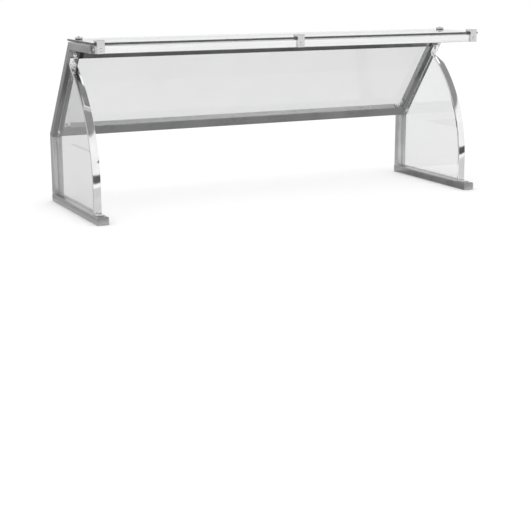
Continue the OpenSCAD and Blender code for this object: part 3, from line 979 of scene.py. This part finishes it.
def place_screws(node, toward, sizes, finish, slot, frame_matrix=UPRIGHT, beside=0):
    """Copies one screw to each solid that points toward; beside picks an end."""
    toward = Vector(toward)
    axis = max(range(3), key=lambda i: abs(toward[i]))
    cap_r, cap_h, shank_r, socket_r = sizes

    def screw(low, high):
        piece = button_screw(cap_r, cap_h, shank_r, high[axis] - low[axis] - cap_h, socket_r)
        seat = (low + high) / 2
        seat[axis] = (high[axis] if toward[axis] > 0 else low[axis]) - cap_h * toward[axis]
        piece.matrix_world = to_seat(toward, seat)
        return piece

    boxes = [(low, high) for low, high in solids(node, frame_matrix)
             if low.x * beside >= 0 and all(
                 high[i] - low[i] < 2.2 * cap_r for i in range(3) if i != axis)]
    places = [(f"{node}_{'xyz'[axis]}{int(box[0].x > 0)}{number + 1}", box, node)
              for number, box in enumerate(boxes)]
    return repeat(screw, places, finish, frame_matrix)


small = (SMALL, screw_steel, "screw")
placed = place_screws("front_clamp_screws", (0, -1, 0), *small)
placed += place_screws("rear_clamp_screws", (0, 0, 1), *small)
placed += place_screws("arc_screws", (0, 0, 1), *small)
placed += place_screws("arc_screws", (0, -1, 0), *small, frame_matrix=ARM)
for side in SIDES.values():
    placed += place_screws("end_cap_screws", (side, 0, 0), *small, beside=side)
print(placed, "small screws")
bolt_steel = polished_steel("bolt_polish", 0.82, rough=0.08, wave=0.08, swirl=150)
bolts = place_screws("glass_bolts", (0, 1, 0), LARGE, bolt_steel, "dome_bolt", ARM)
print(bolts, "glass bolts")

# %% [markdown]
# A dome nut closes each glass bolt on the operator's side. Its body is a hexagon
# whose corners are turned off, which leaves a small curve on every flat: the
# hexagon is trimmed to a disc with a bevelled rim. Half a ball is joined on top.
# The washers are rings with broken edges.

# %% Make the dome nuts and washers
nut_low, nut_high = nut_boxes[0]
nut_height = nut_high.y - nut_low.y
hex_r = (nut_high.x - nut_low.x) / 2
hex_height = 0.515 * nut_height


def dome_nut():
    """A nut along +z with its seat at z = 0."""
    nut = rod("dome_nut", (0, 0, 0), (0, 0, 1), hex_r, hex_height, sides=6)
    disc = rod("disc", (0, 0, -MM), (0, 0, 1), hex_r, hex_height + MM, sides=64)
    round_edges(disc, 0.9 * MM, steps=1, test=lambda e: all(
        v.co.z > 0.9 * hex_height for v in e.verts) and steep(e))
    combine(nut, disc, "INTERSECT")
    bpy.ops.mesh.primitive_uv_sphere_add(segments=48, ring_count=24, radius=1)
    ball = bpy.context.object
    ball.scale = (0.83 * hex_r, 0.83 * hex_r, nut_height - hex_height)
    ball.location.z = hex_height
    bpy.ops.object.transform_apply(location=True, rotation=True, scale=True)
    bpy.ops.object.mode_set(mode="EDIT")
    cut_plane((0, 0, hex_height - 0.2 * MM), (0, 0, -1))
    bpy.ops.object.mode_set(mode="OBJECT")
    combine(nut, ball, "UNION")
    return drill(nut, (0, 0, -MM), (0, 0, 1), bolt_r, hex_height + MM)


def seated_nut(low, high):
    nut = dome_nut()
    seat = Vector(((low.x + high.x) / 2, high.y, (low.z + high.z) / 2))
    nut.matrix_world = to_seat((0, -1, 0), seat)
    return nut


def washer(low, high):
    foot = Vector(((low.x + high.x) / 2, low.y, (low.z + high.z) / 2))
    outward = Vector((0, 1, 0))
    thickness = high.y - low.y
    ring = rod("ring", foot, outward, (high.x - low.x) / 2, thickness)
    drill(ring, foot - outward * MM, outward, bolt_r, thickness + 2 * MM)
    round_edges(ring, 0.25 * MM, steps=2, test=steep)
    return ring


washer_steel = polished_steel("washer_steel", 0.45, rough=0.24, wave=0.1, swirl=300)
washer_boxes = solids("bolt_washers", ARM, gather=0.02)
nuts = repeat(seated_nut, numbered("dome_nut_", "dome_nuts", nut_boxes),
              bolt_steel, ARM)
rings = repeat(washer, numbered("washer_", "bolt_washers", washer_boxes),
               washer_steel, ARM)
print(nuts, "nuts", rings, "washers")

# %% [markdown]
# The front clamps' set screws stand in threaded holes in the jaws: plain pins
# with a six-sided socket, a little below the jaw's top.

# %% Make the set screws
def set_screw(low, high):
    foot = Vector(((low.x + high.x) / 2, (low.y + high.y) / 2, low.z))
    length = high.z - low.z
    pin = rod("pin", foot, (0, 0, 1), (high.x - low.x) / 2, length)
    round_edges(pin, 0.3 * MM, steps=2, test=steep)
    key = foot + Vector((0, 0, length / 2))
    return combine(pin, rod("socket", key, (0, 0, 1), 1.25 * MM, length, sides=6))


grub_boxes = solids("clamp_grub_screws")
grubs = repeat(set_screw, numbered("set_screw_", "clamp_grub_screws", grub_boxes),
               screw_steel)
print(grubs, "set screws")

# %% [markdown]
# ## Corner brackets, end plates and connectors
# Small pressed brackets tie the lower cross rail to the arms. Each is a strip
# whose end is pulled up at a right angle, drilled and softened. Thin plates
# close the ends of the rails, and a black moulded connector, a flange with a
# plug behind it, joins each end of the upper cross rail to its arm.

# %% Press the brackets
bracket_steel = grained_steel("bracket_steel", 0.62, "x", rough=0.24)
bracket_t = 3 * MM
hole_from_end = 10 * MM
hole_r = 2.8 * MM
bracket_shank = 9 * MM
bracket_screw = button_screw(head_r, head_h, screw_r, bracket_shank, key_r)
for name, side in SIDES.items():
    node = name + "_corner_bracket"
    low, high = box_of([ARM.inverted() @ p for p in points(node)])
    strip = block(node + "_plate", low, (high.x, high.y, low.z + bracket_t))
    bpy.ops.object.mode_set(mode="EDIT")
    inner = high.x - bracket_t if side > 0 else low.x + bracket_t
    cut_plane((inner, 0, 0), (1, 0, 0), clear=False)
    choose("FACE", lambda f: f.normal.z > 0.9 and (middle(f).x - inner) * side > 0)
    bpy.ops.mesh.extrude_region_move(
        TRANSFORM_OT_translate={"value": (0, 0, high.z - low.z - bracket_t)})
    bpy.ops.object.mode_set(mode="OBJECT")
    corner = high.x if side > 0 else low.x
    offset = high.z - low.z - hole_from_end
    mid_y = (low.y + high.y) / 2
    across = Vector((corner - side * offset, mid_y, low.z))
    upward = Vector((corner, mid_y, low.z + offset))
    through = bracket_t + 2 * MM
    drill(strip, across - Vector((0, 0, MM)), (0, 0, 1), hole_r, through)
    drill(strip, upward + Vector((side * MM, 0, 0)), (-side, 0, 0), hole_r, through)
    round_edges(strip, 0.4 * MM, steps=2, test=steep)
    hand_over(strip, bracket_steel, [node], ARM)
    for number, (seat, toward) in enumerate((
            (across + Vector((0, 0, bracket_t)), (0, 0, 1)),
            (upward - Vector((side * bracket_t, 0, 0)), (-side, 0, 0)))):
        screw = copy_of(bracket_screw, f"{name}_bracket_screw_{number + 1}",
                        to_seat(toward, seat))
        hand_over(screw, screw_steel, ["bracket_screws"], ARM)
bpy.data.objects.remove(bracket_screw)
print("brackets", round(offset, 4), "to their holes")

# %% [markdown]
# An end plate is a flat blank cut to the tube's outside, so its corners are round
# and its edges slightly soft. A block with two kinds of rounded edge is enough; a
# plate on a base rail and one on the front rail only face different ways.

# %% Close the ends
plate_steel = grained_steel("plate_steel", 0.42, "x", rough=0.26)
corner_r = 2.5 * MM


def plate_across(axis):
    """How to make an end plate whose thickness runs along one axis."""
    def plate(low, high):
        piece = block("plate", low, high)
        round_edges(piece, corner_r, steps=4, test=runs_along(axis))
        round_edges(piece, 0.3 * MM, steps=2, test=steep)
        return piece
    return plate


rail_ends = [f"{side}_rail_{end}_cap" for side in SIDES for end in ("front", "rear")]
front_ends = [f"front_rail_{side}_cap" for side in SIDES]
plates = repeat(plate_across(1), whole("_plate", rail_ends), plate_steel)
plates += repeat(plate_across(0), whole("_plate", front_ends), plate_steel)
print(plates, "end plates")

# %% [markdown]
# A connector is one moulding: a flange the size of the tube and a smaller plug
# that grips inside it. Inset and extrude make the plug out of the flange's own
# face. The two ends mirror each other, so each is made in place.

# %% Mould the connectors
black_plastic = rubber("connector_black", (0.012, 0.012, 0.013), rough=0.45)
flange_w = 12 * MM
plug_inset = 1.7 * MM
for name, side in SIDES.items():
    node = f"upper_rail_{name}_connector"
    low, high = box_of([ARM.inverted() @ p for p in points(node)])
    if side > 0:
        flange = block(node + "_moulded", (high.x - flange_w, low.y, low.z), high)
    else:
        flange = block(node + "_moulded", low, (low.x + flange_w, high.y, high.z))
    round_edges(flange, corner_r, steps=4, test=runs_along(0))
    bpy.ops.object.mode_set(mode="EDIT")
    choose("FACE", lambda f: f.normal.x * side < -0.9)
    bpy.ops.mesh.inset(thickness=plug_inset)
    bpy.ops.mesh.extrude_region_move(TRANSFORM_OT_translate={
        "value": (-side * (high.x - low.x - flange_w), 0, 0)})
    bpy.ops.object.mode_set(mode="OBJECT")
    hand_over(flange, black_plastic, [node], ARM)
print("two connectors")

# %% [markdown]
# ## Glazing tape and weld nuts
# Grey foam tape beds the sloping pane on the tubes, and weld nuts inside the base
# rails take the counter bolts. Both are simple enough to keep as packed; they
# only need their own finishes: closed-cell foam with fine pores, and zinc-plated
# steel with a mottled bloom.

# %% Finish the tape and the weld nuts
foam = rubber("tape_foam", (0.30, 0.30, 0.30), rough=0.85)
for node in ("left_glass_tape", "right_glass_tape", "lower_glass_tape", "upper_glass_tape"):
    nodes[node].material_slots[0].material = foam
zinc = polished_steel("weld_nut_zinc", 0.50, rough=0.38, wave=0.3, swirl=420)
nodes["counter_weld_nuts"].material_slots[0].material = zinc
print("tape and weld nuts finished")
